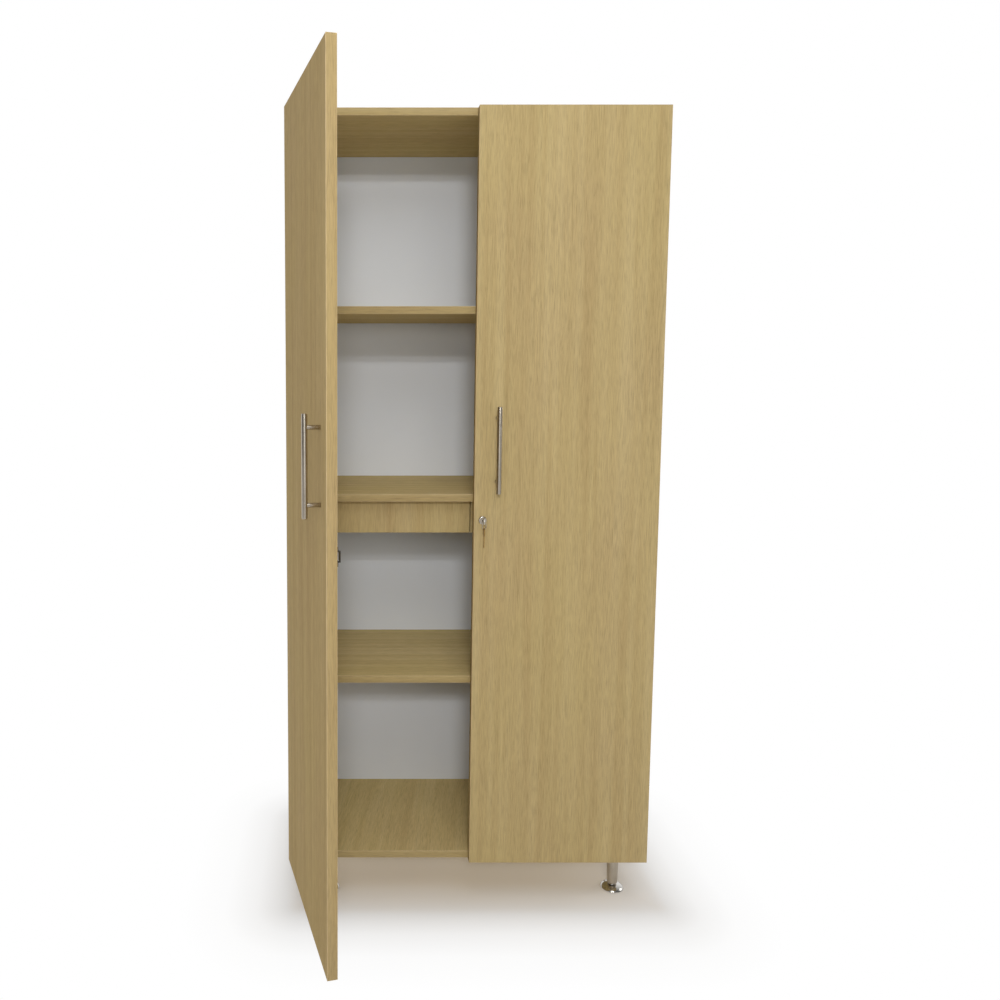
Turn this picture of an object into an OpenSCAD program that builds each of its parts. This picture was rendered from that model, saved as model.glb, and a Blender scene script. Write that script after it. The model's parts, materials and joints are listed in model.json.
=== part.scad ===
// Tall two-door cupboard of oak-faced board on tapered metal legs.
// The floor is z = 0, x = 0 is the middle of the width, and y = 0 is the plane
// of the closed doors' faces, with +y towards the back. The left door is drawn
// standing open and the right one shut.

/* [Carcass] */
// Overall width of the carcass
cabinet_w = 900; // [860:5:1000]
// Depth of the carcass, without the doors
cabinet_d = 400; // [390:5:480]
// Height of the carcass, without the legs
carcass_h = 1850; // [1820:5:1950]
// Thickness of the carcass boards and shelves
board_t = 18; // [16:0.5:19]
// Thickness of the white back panel
back_t = 4; // [3:0.5:5]
// From the rear edges of the boards to the back panel
back_inset = 10; // [8:0.5:14]
// How deep the back panel sits in the boards' grooves
groove_depth = 8; // [6:0.5:10]
// Thickness of the edge banding
band_t = 1; // [0.5:0.1:2]

/* [Shelves] */
// Top of the lower shelf above the carcass's underside
shelf_lower_h = 477; // [440:0.5:520]
// Top of the fixed middle shelf, which carries the drawer
shelf_middle_h = 934; // [910:0.5:950]
// Top of the upper shelf
shelf_upper_h = 1389; // [1340:0.5:1420]
// Gap at each end of a loose shelf
shelf_side_gap = 1; // [0.5:0.1:1.5]
// Gap between a shelf and the back panel
shelf_back_gap = 1; // [0.5:0.1:3]
// Diameter of a shelf pin
shelf_pin_d = 5; // [4:0.5:6]
// How far a shelf pin stands out under the shelf
shelf_pin_reach = 9; // [7:0.5:11]
// Spacing of the rows of pin holes
pin_pitch = 32; // [25:1:32]

/* [Doors] */
// Thickness of a door
door_t = 22; // [20:0.5:24]
// Gap between a shut door and the carcass
door_gap = 3; // [2.8:0.1:3.5]
// How far a door stays inside the carcass's outer edges
door_reveal = 1; // [0.5:0.1:1.5]
// Gap between the two doors where they meet
meeting_gap = 2; // [1.5:0.1:3]
// How far the left door is drawn open
left_door_angle = 76.3; // [74:0.1:90]

/* [Hinges] */
// Diameter of a hinge cup
cup_d = 35; // [34:0.5:36]
// Depth of a hinge cup in the door
cup_depth = 14.5; // [14.4:0.1:15.2]
// From the door's edge to the cup
cup_edge = 3; // [2.5:0.1:3.2]
// From the door's edge to the hinge pin
pivot_edge = 7.5; // [7.3:0.1:7.7]
// From the door's inner face to the hinge pin
pivot_depth = 11; // [10.8:0.1:11.1]
// Diameter of a hinge pin
pin_d = 2; // [1.8:0.1:2.1]
// Lowest and highest hinges, from the carcass's ends
hinge_end = 100; // [80:5:130]
// Second hinge above the carcass's underside
hinge_second_h = 648; // [600:4:720]
// Third hinge above the carcass's underside
hinge_third_h = 1200; // [1120:4:1260]
// From the carcass's front edge to the hinge plate's front screw
plate_setback = 37; // [34:0.5:40]
// Spacing of a hinge plate's screws
plate_pitch = 32; // [28:1:34]

/* [Handles] */
// Spacing of a handle's two posts
handle_spacing = 154; // [96:1:224]
// How far the bar runs past each post
handle_overhang = 27; // [15:1:35]
// Diameter of the bar
handle_bar_d = 12; // [10:0.5:14]
// Diameter of a post
handle_post_d = 9.5; // [8:0.5:10]
// From the door's face to the bar's axis
handle_standoff = 32; // [28:0.5:40]
// From the door's free edge to the handle
handle_inset = 53; // [46:0.5:60]
// Middle of the handle above the carcass's underside
handle_h = 1046; // [1030:1:1080]

/* [Lock] */
// Middle of the lock above the carcass's underside
lock_h = 874; // [866:0.5:876]
// From the door's free edge to the lock's axis
lock_inset = 21; // [19:0.5:22]
// Outer size of the lock case
lock_case_w = 38; // [37:0.5:42]
// Thickness of the lock case
lock_case_t = 10; // [9.5:0.1:12]
// Diameter of the lock's barrel through the door
barrel_d = 16; // [15:0.5:17]
// Diameter of the turning plug
plug_d = 10; // [9.6:0.1:11]
// Diameter of the rosette
rosette_d = 20; // [19:0.5:24]
// How far the bolt is thrown
bolt_throw = 8; // [6:0.5:8]
// Height of the bolt
bolt_h = 18; // [17:0.5:18.5]
// Thickness of the bolt
bolt_t = 2.4; // [2:0.1:2.6]
// Diameter of a key's bow
key_bow_d = 21; // [19:0.5:23]
// Thickness of a key
key_t = 2; // [1.6:0.1:2.2]
// Length of a key's blade, from its bow
key_blade = 28; // [26:0.5:30]
// Outer diameter of the key ring
ring_d = 20; // [18:0.5:22]

/* [Drawer] */
// Height of the drawer front
drawer_front_h = 78.5; // [76:0.5:82]
// From the carcass's front to the drawer front
drawer_setback = 30; // [28:0.5:36]
// Gap above the drawer front
drawer_top_gap = 4; // [3:0.5:6]
// Gap at each side of the drawer front
drawer_side_gap = 2; // [1.5:0.1:3]
// Packing between the left side panel and the runner's board
packer_t = 36; // [34:1:50]
// Thickness of the drawer's sides and back
drawer_side_t = 12; // [12:0.5:15]
// Height of the drawer's sides
drawer_side_h = 60; // [56:1:64]
// Length of the drawer's sides
drawer_side_l = 325; // [310:5:325]
// Thickness of the drawer's bottom
drawer_bottom_t = 4; // [3:0.5:5]
// Width of the gap that a runner fills
runner_w = 12.7; // [12.7:0.1:13.5]
// Height of a runner
runner_h = 35; // [34:0.5:38]
// Thickness of a runner's steel
runner_t = 1.2; // [1:0.1:1.3]
// Diameter of a runner's balls
ball_d = 5; // [4.6:0.1:5]

/* [Legs] */
// Height from the floor to the carcass
leg_h = 120; // [105:1:150]
// Diameter of a leg at its top
leg_top_d = 33; // [30:1:38]
// Diameter of a leg at its foot
leg_bottom_d = 26; // [22:1:29]
// Diameter of a foot
foot_d = 58; // [50:1:66]
// Height of a foot
foot_h = 11; // [9:0.5:14]
// From the carcass's left side to the left legs
leg_inset_left = 95; // [60:1:120]
// From the carcass's right side to the right legs
leg_inset_right = 57.5; // [50:0.5:100]
// From the carcass's front and rear to the legs
leg_inset_y = 65; // [50:1:90]
// Diameter of a foot's threaded stem
stem_d = 10; // [8:0.5:12]

/* [Hidden] */

$fn = 48;
cut = 1; // how far a cutting shape runs past the face that it opens
fit = 0.05; // radial clearance of a screw, pin or shaft in its bore
slip = 0.3; // clearance of a piece that slides or sits loosely

// Planes and edges of the carcass
half_w = cabinet_w / 2;
inner_x = half_w - board_t;
front_y = door_t + door_gap;
rear_y = front_y + cabinet_d;
base_z = leg_h;
top_z = base_z + carcass_h;
back_y = rear_y - back_inset - back_t;
inner_low_z = base_z + board_t;
inner_high_z = top_z - board_t;
groove_slack = 0.2;
back_reach = groove_depth - 2 * groove_slack;

// Joints of the fixed boards
dowel_d = 8;
dowel_l = 30;
dowel_in_side = 11;
dowel_y_shares = [0.3, 0.7];
screw_y_shares = [0.06, 0.5];
confirmat_d = 5;
confirmat_l = 50;
confirmat_head_d = 9;
confirmat_head_t = 3.5;

// Shelf pins
pin_hole_depth = 9;
pin_flange_d = 8;
pin_flange_t = 1.2;
pin_front = 50;
pin_back = 60;
pin_hole_steps = [-1, 0, 1];

// Doors, before the left one is opened
door_edge_x = half_w - door_reveal;
door_free_x = meeting_gap / 2;
door_low_z = base_z + door_reveal;
door_high_z = top_z - door_reveal;
pivot_x = door_edge_x - pivot_edge;
pivot_y = door_t - pivot_depth;

// Hinges
hinge_heights = [
    base_z + hinge_end, base_z + hinge_second_h,
    base_z + hinge_third_h, top_z - hinge_end
];
cup_x = door_edge_x - cup_edge - cup_d / 2;
cup_floor_t = 0.8;
knuckle_wall = 1.2;
knuckle_d = pin_d + 2 * knuckle_wall;
arm_w = 9.4;
arm_t = 2.5;
arm_channel_w = 13;
arm_channel_start = 13; // from the carcass's front to the arm's channel
arm_channel_t = 1.5;
arm_channel_deep = 9;
arm_offset = 3.5; // from the side panel's face to the arm
arm_x = inner_x - arm_offset - arm_t;
channel_low_x = inner_x - arm_offset - arm_channel_deep;
cup_slot_w = arm_w + 4 * slip;
pin_seat = 2.5; // length of a pin held at each side of the slot
pin_l = cup_slot_w + 2 * pin_seat;
cup_slot_rim = 4;
flange_w = 16;
flange_l = 62;
flange_t = 0.8;
cup_screw_pitch = 48;
cup_screw_offset = 6;
cup_screw_x = cup_x - cup_screw_offset;
plate_w = 24;
plate_l = 58;
plate_boss_w = arm_channel_w - 2 * arm_channel_t - 4 * slip;
small_screw_d = 3.5;
small_screw_l = 13;
small_head_d = 7;
small_head_t = 1.8;

// Handles
handle_x = door_free_x + handle_inset;
handle_z = base_z + handle_h;
handle_screw_d = 4;
handle_screw_grip = 12;
handle_head_d = 8;
handle_head_t = 2.2;
bar_bevel = 1;

// Lock, seen from the front of the right door
lock_x = door_free_x + lock_inset;
lock_z = base_z + lock_h;
case_wall = 1.4;
case_inset = 1; // from the door's free edge to the case
case_x = door_free_x + case_inset;
bolt_y = door_t + case_wall + slip;
bolt_x = case_x + slip; // the retracted bolt's tip
bolt_end_gap = 4; // behind the retracted bolt
bolt_l = lock_case_w - slip - case_wall - bolt_end_gap;
cam_r = bolt_throw / sqrt(2);
cam_pin_d = 2.4;
cam_slack = 0.4;
cam_t = 2;
cam_rim = 0.8;
cam_d = 2 * (cam_r + cam_rim) + cam_pin_d;
cam_neck_d = 6;
plug_proud = 1.5;
keyway_w = key_t + slip;
keyway_h = 7.6;
blade_h = keyway_h - slip;
barrel_proud = 2;
rosette_t = 2.4;
lock_screw_inset = 5;
keeper_t = 1.6;
keeper_w = 9;
keeper_foot = 8;
keeper_screw_d = 2.6;
keeper_screw_l = 10;
keeper_head_d = 5;
keeper_head_t = 1.2;

// Keys
blade_tip_y = door_t - case_wall - slip;
bow_edge_y = blade_tip_y - key_blade;
bow_y = bow_edge_y - key_bow_d / 2;
bow_hole_d = 6;
bow_hole_inset = 4.5;
ring_wire_d = 1.5;
ring_turn = 50; // how far the ring is turned from the door's plane
ring_r = (ring_d - ring_wire_d) / 2;
ring_hole_y = bow_y - key_bow_d / 2 + bow_hole_inset;
spare_blade_h = 6;

// Drawer
drawer_y = front_y + drawer_setback;
drawer_right_x = -door_free_x;
hanger_left_x = -inner_x + packer_t + board_t;
hanger_right_x = drawer_right_x + drawer_side_gap;
drawer_left_x = hanger_left_x + drawer_side_gap;
middle_under_z = base_z + shelf_middle_h - board_t;
drawer_high_z = middle_under_z - drawer_top_gap;
drawer_low_z = drawer_high_z - drawer_front_h;
drawer_box_y = drawer_y + board_t;
drawer_box_lift = 8;
drawer_box_low_z = drawer_low_z + drawer_box_lift;
box_left_x = hanger_left_x + runner_w;
box_right_x = hanger_right_x - runner_w;
drawer_groove = 6;
drawer_bottom_lift = 8;
drawer_bottom_z = drawer_box_low_z + drawer_bottom_lift;

// Runners
runner_end_gap = 4;
runner_l = drawer_side_l - 2 * runner_end_gap;
runner_y = drawer_box_y + runner_end_gap;
runner_z = drawer_box_low_z + drawer_side_h / 2;
fixed_lip = 9;
moving_lip = 8.8;
moving_h = runner_h - 2 * runner_t - 2 * (ball_d + slip);
cage_t = 0.8;
cage_l = 72;
cage_y = runner_y + runner_l / 2 - cage_l / 2;
cage_gap = 0.9;
cage_x = runner_t + cage_gap;
ball_count = 5;
ball_x = runner_w / 2;
ball_z = moving_h / 2 + slip / 2 + ball_d / 2;
runner_screw_d = 3;
runner_screw_l = 10;
runner_head_d = 5.6;
runner_screw_shares = [0.08, 0.5, 0.92];

// Legs
leg_plate_w = 60;
leg_plate_t = 3;
leg_screw_d = 4;
leg_screw_l = 14;
leg_head_d = 7.5;
leg_screw_inset = 8;
leg_neck_d = 15;
leg_neck_h = 4;
stem_l = 48;
stem_play = 6;
leg_foot_z = foot_h + leg_neck_h;
dome_edge_h = 2.5;
dome_steps = 10;

function shares_of(low, length, shares) = [for (s = shares) low + length * s];
function leg_xy(left, front) = [
    left ? -half_w + leg_inset_left : half_w - leg_inset_right,
    front ? front_y + leg_inset_y : rear_y - leg_inset_y
];

module oak() { color("burlywood") children(); }
module oak_edge() { color("tan") children(); }
module nickel() { color("silver") children(); }
module steel() { color("gainsboro") children(); }
module white() { color("whitesmoke") children(); }

// A box between two corners
module block(low, high) {
    translate(low) cube(high - low);
}

// A screw along +z with its head's underside at z = 0
module pan_screw(d, l, head_d, head_t, grow = 0) {
    translate([0, 0, grow > 0 ? 0 : -head_t])
        cylinder(d = head_d + 2 * grow, h = head_t);
    cylinder(d = d + 2 * grow, h = l);
}

// A screw along +z with a tapered head that ends flush at z = 0
module flush_screw(d, l, head_d, head_t, grow = 0) {
    cylinder(d1 = head_d + 2 * grow, d2 = d + 2 * grow, h = head_t);
    cylinder(d = d + 2 * grow, h = l);
}

// Moves a shape from the right half of the cabinet to the left half
module to_left() { mirror([1, 0, 0]) children(); }

module left_door_opened() {
    translate([-pivot_x, pivot_y, 0])
        rotate([0, 0, -left_door_angle])
            translate([pivot_x, -pivot_y, 0])
                children();
}

// Carcass

module back_slot(slack = 0) {
    block([-inner_x - back_reach - slack, back_y - slack, inner_low_z - back_reach - slack],
          [inner_x + back_reach + slack, back_y + back_t + slack, inner_high_z + back_reach + slack]);
}

fixed_board_z = [base_z, base_z + shelf_middle_h - board_t, top_z - board_t];

module dowel_set(grow = 0) {
    for (z = fixed_board_z, y = shares_of(front_y, cabinet_d, dowel_y_shares))
        translate([inner_x + dowel_in_side, y, z + board_t / 2])
            rotate([0, -90, 0])
                cylinder(d = dowel_d + 2 * grow, h = dowel_l + grow);
}

module confirmat_set(grow = 0) {
    for (z = fixed_board_z, y = shares_of(front_y, cabinet_d, screw_y_shares))
        translate([half_w, y, z + board_t / 2])
            rotate([0, -90, 0])
                flush_screw(confirmat_d, confirmat_l + grow, confirmat_head_d,
                            confirmat_head_t, grow);
}

module pin_holes() {
    for (h = [shelf_lower_h, shelf_upper_h], s = pin_hole_steps,
         y = [front_y + pin_front, back_y - pin_back])
        translate([inner_x - cut, y, base_z + h - board_t - shelf_pin_d / 2 + s * pin_pitch])
            rotate([0, 90, 0])
                cylinder(d = shelf_pin_d + 2 * fit, h = pin_hole_depth + fit + cut);
}

module side_panel() {
    difference() {
        block([inner_x, front_y + band_t, base_z], [half_w, rear_y, top_z]);
        back_slot(groove_slack);
        dowel_set(fit);
        confirmat_set(fit);
        pin_holes();
        plate_screw_set(fit);
    }
}

module side_panel_left() { oak() to_left() side_panel(); }
module side_panel_right() { oak() side_panel(); }

module fixed_board_joints() {
    dowel_set(fit);
    confirmat_set(fit);
    to_left() dowel_set(fit);
    to_left() confirmat_set(fit);
}

module top_panel() {
    oak() difference() {
        block([-inner_x, front_y + band_t, inner_high_z], [inner_x, rear_y, top_z]);
        back_slot(groove_slack);
        fixed_board_joints();
    }
}

module bottom_panel() {
    oak() difference() {
        block([-inner_x, front_y + band_t, base_z], [inner_x, rear_y, inner_low_z]);
        back_slot(groove_slack);
        fixed_board_joints();
        leg_screw_set(fit);
    }
}

module back_panel() { white() back_slot(); }

module loose_shelf(h) {
    block([-inner_x + shelf_side_gap, front_y + band_t, base_z + h - board_t],
          [inner_x - shelf_side_gap, back_y - shelf_back_gap, base_z + h]);
}

module shelf_lower() { oak() loose_shelf(shelf_lower_h); }
module shelf_upper() { oak() loose_shelf(shelf_upper_h); }

module shelf_middle() {
    oak() difference() {
        block([-inner_x, front_y + band_t, middle_under_z],
              [inner_x, back_y - shelf_back_gap, middle_under_z + board_t]);
        fixed_board_joints();
        hanger_dowel_set(fit);
    }
}

module shelf_pin_row() {
    for (h = [shelf_lower_h, shelf_upper_h],
         y = [front_y + pin_front, back_y - pin_back])
        translate([inner_x, y, base_z + h - board_t - shelf_pin_d / 2]) rotate([0, -90, 0]) {
            translate([0, 0, -pin_hole_depth])
                cylinder(d = shelf_pin_d, h = pin_hole_depth + shelf_pin_reach);
            intersection() {
                cylinder(d = pin_flange_d, h = pin_flange_t);
                translate([-pin_flange_d, -pin_flange_d, -cut])
                    cube([pin_flange_d + shelf_pin_d / 2, 2 * pin_flange_d, pin_flange_t + 2 * cut]);
            }
        }
}

module shelf_pins() {
    nickel() {
        shelf_pin_row();
        to_left() shelf_pin_row();
    }
}

module carcass_edge_bands() {
    oak_edge() {
        for (x = [-half_w, inner_x])
            block([x, front_y, base_z], [x + board_t, front_y + band_t, top_z]);
        for (z = fixed_board_z)
            block([-inner_x, front_y, z], [inner_x, front_y + band_t, z + board_t]);
        for (h = [shelf_lower_h, shelf_upper_h])
            block([-inner_x + shelf_side_gap, front_y, base_z + h - board_t],
                  [inner_x - shelf_side_gap, front_y + band_t, base_z + h]);
    }
}

module carcass_dowels() {
    color("peru") {
        dowel_set();
        to_left() dowel_set();
        hanger_dowel_set();
    }
}

module carcass_screws() {
    nickel() {
        confirmat_set();
        to_left() confirmat_set();
    }
}

// Legs

module at_legs() {
    for (left = [true, false], front = [true, false])
        translate(concat(leg_xy(left, front), 0))
            children();
}

module at_leg_screws() {
    reach = leg_plate_w / 2 - leg_screw_inset;
    for (x = [-reach, reach], y = [-reach, reach])
        translate([x, y, 0])
            children();
}

module leg_screw_set(grow = 0) {
    at_legs() at_leg_screws()
        translate([0, 0, base_z - leg_plate_t])
            flush_screw(leg_screw_d, leg_screw_l + grow, leg_head_d, leg_plate_t, grow);
}

module leg_plates() {
    nickel() difference() {
        at_legs()
            translate([-leg_plate_w / 2, -leg_plate_w / 2, base_z - leg_plate_t])
                cube([leg_plate_w, leg_plate_w, leg_plate_t]);
        leg_screw_set(fit);
    }
}

module leg_screws() { steel() leg_screw_set(); }

module legs() {
    leg_l = base_z - leg_plate_t - leg_foot_z - slip;
    nickel() at_legs()
        translate([0, 0, leg_foot_z + slip]) difference() {
            cylinder(d1 = leg_bottom_d, d2 = leg_top_d, h = leg_l);
            translate([0, 0, -cut])
                cylinder(d = stem_d + 2 * fit, h = stem_l + stem_play + cut);
        }
}

// A domed foot's upper outline, from its edge to the neck
function dome_points() = [
    for (i = [dome_steps:-1:0])
        let (a = 90 * i / dome_steps)
        [leg_neck_d / 2 + (foot_d - leg_neck_d) / 2 * sin(a),
         dome_edge_h + (foot_h - dome_edge_h) * cos(a)]
];

module foot(left, front) {
    steel() translate(concat(leg_xy(left, front), 0)) {
        rotate_extrude()
            polygon(concat([[0, 0], [foot_d / 2, 0]], dome_points(),
                           [[leg_neck_d / 2, leg_foot_z], [0, leg_foot_z]]));
        cylinder(d = stem_d, h = leg_foot_z + stem_l);
    }
}

module foot_front_left() { foot(true, true); }
module foot_front_right() { foot(false, true); }
module foot_rear_left() { foot(true, false); }
module foot_rear_right() { foot(false, false); }

// Hinges, drawn on the right and mirrored for the left

module at_hinges() {
    for (z = hinge_heights) translate([0, 0, z]) children();
}

module hinge_cup_body(grow = 0) {
    translate([cup_x, door_t, 0]) rotate([90, 0, 0])
        cylinder(d = cup_d + 2 * grow, h = cup_depth + grow);
}

module at_cup_screws() {
    for (s = [-1, 1])
        translate([cup_screw_x, door_t + flange_t, s * cup_screw_pitch / 2])
            rotate([90, 0, 0])
                children();
}

module cup_screw(grow = 0) {
    at_cup_screws() pan_screw(small_screw_d, small_screw_l, small_head_d, small_head_t, grow);
}

module hinge_cups() {
    at_hinges() difference() {
        union() {
            hinge_cup_body();
            block([cup_screw_x - flange_w / 2, door_t, -flange_l / 2],
                  [cup_screw_x + flange_w / 2, door_t + flange_t, flange_l / 2]);
        }
        block([cup_x - cup_d / 2 + cup_slot_rim,
               pivot_y - knuckle_d / 2 - slip, -cup_slot_w / 2],
              [pivot_x + knuckle_d / 2 + slip, door_t + flange_t + cut, cup_slot_w / 2]);
        translate([pivot_x, pivot_y, -pin_l / 2])
            cylinder(d = pin_d + 2 * fit, h = pin_l);
        cup_screw(fit);
    }
}

module hinge_pins() {
    at_hinges() translate([pivot_x, pivot_y, -pin_l / 2])
        cylinder(d = pin_d, h = pin_l);
}

module hinge_arms() {
    channel_y = front_y + arm_channel_start;
    channel_end_y = front_y + plate_setback + plate_pitch;
    at_hinges() {
        difference() {
            union() {
                block([arm_x, pivot_y - arm_t / 2, -arm_w / 2],
                      [arm_x + arm_t, channel_y + cut, arm_w / 2]);
                block([arm_x, pivot_y - arm_t / 2, -arm_w / 2],
                      [pivot_x, pivot_y + arm_t / 2, arm_w / 2]);
                translate([pivot_x, pivot_y, -arm_w / 2])
                    cylinder(d = knuckle_d, h = arm_w);
            }
            translate([pivot_x, pivot_y, -arm_w / 2 - cut])
                cylinder(d = pin_d + 2 * fit, h = arm_w + 2 * cut);
        }
        difference() {
            block([channel_low_x, channel_y, -arm_channel_w / 2],
                  [arm_x + arm_t, channel_end_y, arm_channel_w / 2]);
            block([channel_low_x + arm_channel_t, channel_y + arm_channel_t,
                   -arm_channel_w / 2 + arm_channel_t],
                  [arm_x + arm_t + cut, channel_end_y + cut,
                   arm_channel_w / 2 - arm_channel_t]);
        }
    }
}

module at_plate_screws() {
    for (y = [front_y + plate_setback, front_y + plate_setback + plate_pitch])
        for (s = [-1, 1])
            translate([0, y, s * (plate_w - small_head_d) / 2])
                children();
}

module plate_screw(grow = 0) {
    at_plate_screws() translate([inner_x - arm_offset, 0, 0]) rotate([0, 90, 0])
        flush_screw(small_screw_d, small_screw_l, small_head_d, small_head_t, grow);
}

module plate_screw_set(grow = 0) { at_hinges() plate_screw(grow); }

module hinge_plates() {
    plate_y = front_y + plate_setback - (plate_l - plate_pitch) / 2;
    at_hinges() difference() {
        union() {
            block([inner_x - arm_offset, plate_y, -plate_w / 2 - small_head_d / 2],
                  [inner_x, plate_y + plate_l, plate_w / 2 + small_head_d / 2]);
            block([channel_low_x + 2 * arm_channel_t, plate_y + small_head_d, -plate_boss_w / 2],
                  [inner_x - arm_offset, plate_y + plate_l - small_head_d, plate_boss_w / 2]);
        }
        plate_screw(fit);
    }
}

module left_hinge_cups() { nickel() left_door_opened() to_left() hinge_cups(); }
module left_hinge_pins() { steel() left_door_opened() to_left() hinge_pins(); }
module left_cup_screws() { steel() left_door_opened() to_left() at_hinges() cup_screw(); }
module left_hinge_arms() { nickel() to_left() hinge_arms(); }
module left_hinge_plates() { nickel() to_left() hinge_plates(); }
module left_plate_screws() { steel() to_left() plate_screw_set(); }
module right_hinge_cups() { nickel() hinge_cups(); }
module right_hinge_pins() { steel() hinge_pins(); }
module right_cup_screws() { steel() at_hinges() cup_screw(); }
module right_hinge_arms() { nickel() hinge_arms(); }
module right_hinge_plates() { nickel() hinge_plates(); }
module right_plate_screws() { steel() plate_screw_set(); }

// Handles, drawn on the right

module at_posts() {
    for (s = [-1, 1])
        translate([handle_x, 0, handle_z + s * handle_spacing / 2])
            children();
}

module handle_bar() {
    bar_l = handle_spacing + 2 * handle_overhang;
    translate([handle_x, -handle_standoff, handle_z - bar_l / 2]) {
        cylinder(d1 = handle_bar_d - 2 * bar_bevel, d2 = handle_bar_d, h = bar_bevel);
        translate([0, 0, bar_bevel])
            cylinder(d = handle_bar_d, h = bar_l - 2 * bar_bevel);
        translate([0, 0, bar_l - bar_bevel])
            cylinder(d1 = handle_bar_d, d2 = handle_bar_d - 2 * bar_bevel, h = bar_bevel);
    }
}

module handle_screw(grow = 0) {
    at_posts() translate([0, door_t, 0]) rotate([90, 0, 0])
        pan_screw(handle_screw_d, door_t + handle_screw_grip + grow,
                  handle_head_d, handle_head_t, grow);
}

module handle_posts() {
    difference() {
        at_posts() rotate([90, 0, 0])
            cylinder(d = handle_post_d, h = handle_standoff);
        translate([handle_x, -handle_standoff, handle_z - handle_spacing])
            cylinder(d = handle_bar_d + 2 * fit, h = 2 * handle_spacing);
        at_posts() rotate([90, 0, 0])
            cylinder(d = handle_screw_d + 2 * fit, h = handle_screw_grip + fit);
    }
}

module handle_holes() {
    at_posts() translate([0, door_t + cut, 0]) rotate([90, 0, 0])
        cylinder(d = handle_screw_d + 2 * slip, h = door_t + 2 * cut);
}

module left_handle_bar() { steel() left_door_opened() to_left() handle_bar(); }
module left_handle_posts() { nickel() left_door_opened() to_left() handle_posts(); }
module left_handle_screws() { steel() left_door_opened() to_left() handle_screw(); }
module right_handle_bar() { steel() handle_bar(); }
module right_handle_posts() { nickel() handle_posts(); }
module right_handle_screws() { steel() handle_screw(); }

// Doors, drawn on the right

module door_panel() {
    difference() {
        block([door_free_x + band_t, 0, door_low_z + band_t],
              [door_edge_x - band_t, door_t, door_high_z - band_t]);
        at_hinges() {
            hinge_cup_body(fit);
            cup_screw(fit);
        }
        handle_holes();
    }
}

module door_bands() {
    for (x = [door_free_x, door_edge_x - band_t])
        block([x, 0, door_low_z], [x + band_t, door_t, door_high_z]);
    for (z = [door_low_z, door_high_z - band_t])
        block([door_free_x + band_t, 0, z], [door_edge_x - band_t, door_t, z + band_t]);
}

module left_door() {
    oak() left_door_opened() to_left() difference() {
        door_panel();
        keeper_screw(fit);
    }
}

module right_door() {
    oak() difference() {
        door_panel();
        translate([lock_x, -cut, lock_z]) rotate([-90, 0, 0])
            cylinder(d = barrel_d + 2 * fit, h = door_t + 2 * cut);
        lock_screw(fit);
    }
}

module left_door_edge_bands() { oak_edge() left_door_opened() to_left() door_bands(); }
module right_door_edge_bands() { oak_edge() door_bands(); }

// Lock on the right door

module at_lock() { translate([lock_x, 0, lock_z]) children(); }

module at_lock_screws() {
    reach = lock_case_w / 2 - lock_screw_inset;
    for (s = [-1, 1])
        translate([case_x + lock_case_w - lock_screw_inset, door_t + case_wall, lock_z + s * reach])
            rotate([90, 0, 0])
                children();
}

module lock_screw(grow = 0) {
    at_lock_screws()
        flush_screw(keeper_screw_d, keeper_screw_l, keeper_head_d, keeper_head_t, grow);
}

module lock_case() {
    case_high_x = case_x + lock_case_w;
    half_h = lock_case_w / 2;
    nickel() difference() {
        union() {
            difference() {
                block([case_x, door_t, lock_z - half_h],
                      [case_high_x, door_t + lock_case_t, lock_z + half_h]);
                block([case_x + case_wall, door_t + case_wall, lock_z - half_h + case_wall],
                      [case_high_x - case_wall, door_t + lock_case_t - case_wall,
                       lock_z + half_h - case_wall]);
            }
            for (s = [-1, 1])
                translate([case_x + case_wall, door_t + case_wall,
                           lock_z + s * (bolt_h / 2 + slip + case_wall / 2) - case_wall / 2])
                    cube([lock_case_w - 2 * case_wall, bolt_t + 2 * slip, case_wall]);
            at_lock() translate([0, -barrel_proud, 0]) rotate([-90, 0, 0])
                cylinder(d = barrel_d, h = door_t + barrel_proud + case_wall);
        }
        at_lock() translate([0, -barrel_proud - cut, 0]) rotate([-90, 0, 0])
            cylinder(d = plug_d + 2 * fit, h = door_t + barrel_proud + case_wall + cut);
        at_lock() translate([0, door_t - cut, 0]) rotate([-90, 0, 0])
            cylinder(d = plug_d + 2 * fit, h = case_wall + 2 * cut);
        block([case_x - cut, bolt_y - slip / 2, lock_z - bolt_h / 2 - slip / 2],
              [case_x + case_wall + cut, bolt_y + bolt_t + slip / 2, lock_z + bolt_h / 2 + slip / 2]);
        at_lock_screws() translate([0, 0, -lock_case_t])
            cylinder(d = keeper_head_d + 2 * slip, h = lock_case_t);
        lock_screw(fit);
    }
}

module lock_screws() { steel() lock_screw(); }

module lock_rosette() {
    steel() at_lock() rotate([90, 0, 0]) difference() {
        cylinder(d1 = rosette_d, d2 = rosette_d - rosette_t, h = rosette_t);
        translate([0, 0, -cut]) cylinder(d = barrel_d + 2 * fit, h = rosette_t + 2 * cut);
    }
}

// The cam's pin, at the start of the plug's quarter turn
module cam_pin(grow = 0) {
    translate([cam_r * sin(45), 0, -cam_r * cos(45)]) rotate([-90, 0, 0])
        cylinder(d = cam_pin_d + 2 * grow, h = bolt_t);
}

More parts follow.
